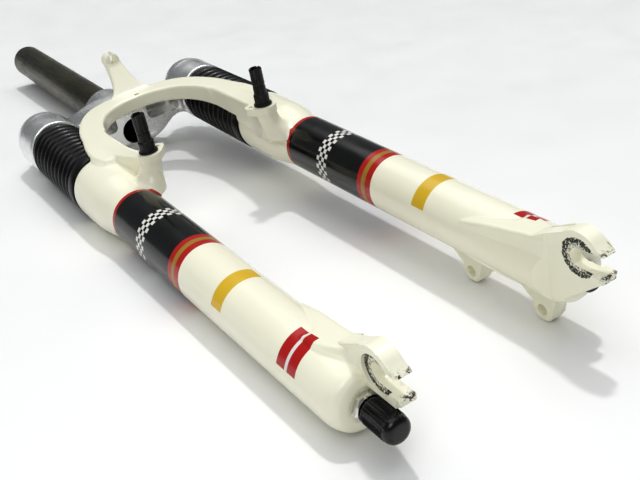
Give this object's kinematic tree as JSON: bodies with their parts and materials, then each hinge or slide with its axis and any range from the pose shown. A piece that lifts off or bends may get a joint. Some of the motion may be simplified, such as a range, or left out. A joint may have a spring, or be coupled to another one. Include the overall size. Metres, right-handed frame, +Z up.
{
  "type": "suspension fork",
  "caption": "Telescopic suspension fork with a steerer, crown, booted sliding legs, arch, brake studs, disc tabs and open dropouts.",
  "frame": {"origin": "middle of the bounding box's base, where the fork lies on the floor", "axes": "+Y along the fork from the dropouts to the steerer's end, +Z up from the floor it lies on, +X towards the rider's left. The fork lies on its back, rolled 7 degrees to its right, as it comes to rest by its own weight"},
  "size_m": [0.1616, 0.6936, 0.0886],
  "materials": {
    "cream_paint": "gloss paint over a cast light alloy",
    "polished_aluminium": "polished",
    "dark_steel": "dark oxide",
    "tube_metal": "ground",
    "black_oxide": "black oxide",
    "bright_steel": "plated",
    "black_rubber": "matte",
    "black_plastic": "moulded",
    "bush_polymer": "moulded",
    "elastomer": "matte",
    "spring_steel": "drawn"
  },
  "bodies": {
    "upper": {"steerer_tube": "dark_steel", "fork_crown": "polished_aluminium", "stanchion_left": "tube_metal", "top_cap_left": "bright_steel", "preload_plunger_left": "black_plastic", "main_spring_left": "spring_steel", "boot_left": "black_rubber", "stanchion_right": "tube_metal", "top_cap_right": "bright_steel", "preload_plunger_right": "black_plastic", "main_spring_right": "spring_steel", "boot_right": "black_rubber", "circlip_left": "black_oxide", "shaft_guide": "black_plastic", "circlip_right": "black_oxide", "damper_cartridge": "tube_metal", "damper_lower_head": "black_plastic", "damper_upper_head": "black_plastic"},
    "lowers": {"lower_casting": "cream_paint", "upper_bushing_left": "bush_polymer", "upper_bushing_right": "bush_polymer", "lower_bushing_left": "bush_polymer", "lower_bushing_right": "bush_polymer", "wiper_seal_left": "black_rubber", "wiper_seal_right": "black_rubber", "brake_stud_left": "black_oxide", "brake_stud_right": "black_oxide", "bottom_bumper_left": "elastomer", "bottom_bumper_right": "elastomer", "top_out_bumper": "elastomer", "spring_shaft": "bright_steel", "spring_seat_left": "black_plastic", "spring_spacer": "black_plastic", "damper_piston": "bush_polymer", "damper_shaft": "bright_steel", "spring_seat_right": "black_plastic", "foot_washer": "bright_steel", "foot_bolt": "black_oxide", "rebound_collar": "bright_steel"},
    "rebound_adjuster": {"rebound_knob": "black_rubber", "rebound_rod": "bright_steel"},
    "preload_left": {"preload_knob_left": "black_plastic"},
    "preload_right": {"preload_knob_right": "black_plastic"}
  },
  "joints": [
    {"name": "fork_slide", "type": "slide", "parent": "upper", "child": "lowers", "axis": [-0.0007, 0.9999, 0.011], "range_m": [0, 0.05], "stiffness_N_per_m": 9000, "springref_m": -0.004, "deforming": ["main_spring_left", "main_spring_right", "boot_left", "boot_right"]},
    {"name": "rebound_turn", "type": "hinge", "parent": "lowers", "child": "rebound_adjuster", "pos_m": [-0.05956, -0.33722, 0.01736], "axis": [0.0007, -0.9999, -0.011], "range_deg": [0, 900]},
    {"name": "preload_turn_left", "type": "hinge", "parent": "upper", "child": "preload_left", "pos_m": [0.05983, 0.10407, 0.03775], "axis": [0.0007, -0.9999, -0.011], "range_deg": [0, 1080]},
    {"name": "preload_turn_right", "type": "hinge", "parent": "upper", "child": "preload_right", "pos_m": [-0.05987, 0.10415, 0.02221], "axis": [0.0007, -0.9999, -0.011], "range_deg": [0, 1080]}
  ]
}
